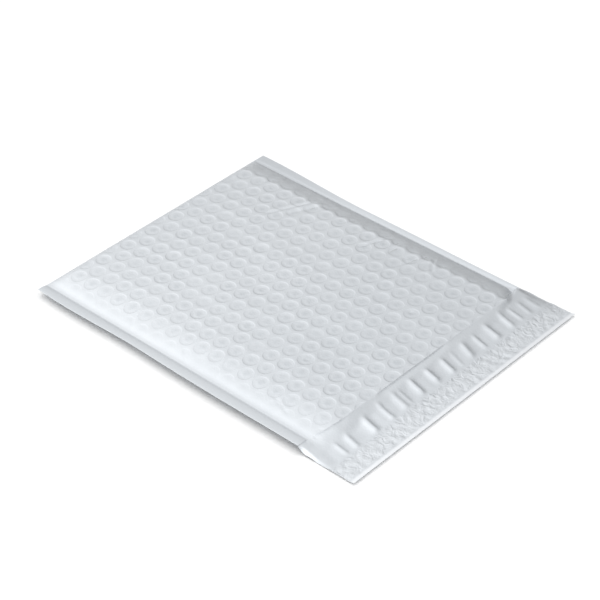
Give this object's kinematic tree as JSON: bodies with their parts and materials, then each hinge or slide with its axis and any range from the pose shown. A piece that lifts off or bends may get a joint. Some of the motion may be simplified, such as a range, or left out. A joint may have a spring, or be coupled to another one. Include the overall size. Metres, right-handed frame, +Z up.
{
  "type": "padded envelope",
  "caption": "Padded mailing envelope of pale plastic film with an air-bubble lining, lying flat and empty with its flap open.",
  "frame": {"origin": "centre of the footprint on the surface the envelope lies on", "axes": "+X from the folded bottom edge to the flap's free edge, +Y to the seam with the wide slope, +Z up, out of the address side"},
  "size_m": [0.243, 0.184, 0.009],
  "materials": {
    "outer_film": "pale silver-white polyethylene film, satin",
    "bubble_lining": "clear air-bubble polyethylene film",
    "adhesive": "tacky hot-melt adhesive",
    "liner": "white release film"
  },
  "bodies": {
    "root": {"outer_film": "outer_film", "bubble_lining": "bubble_lining", "adhesive_strip": "adhesive", "release_liner": "liner"}
  },
  "joints": []
}
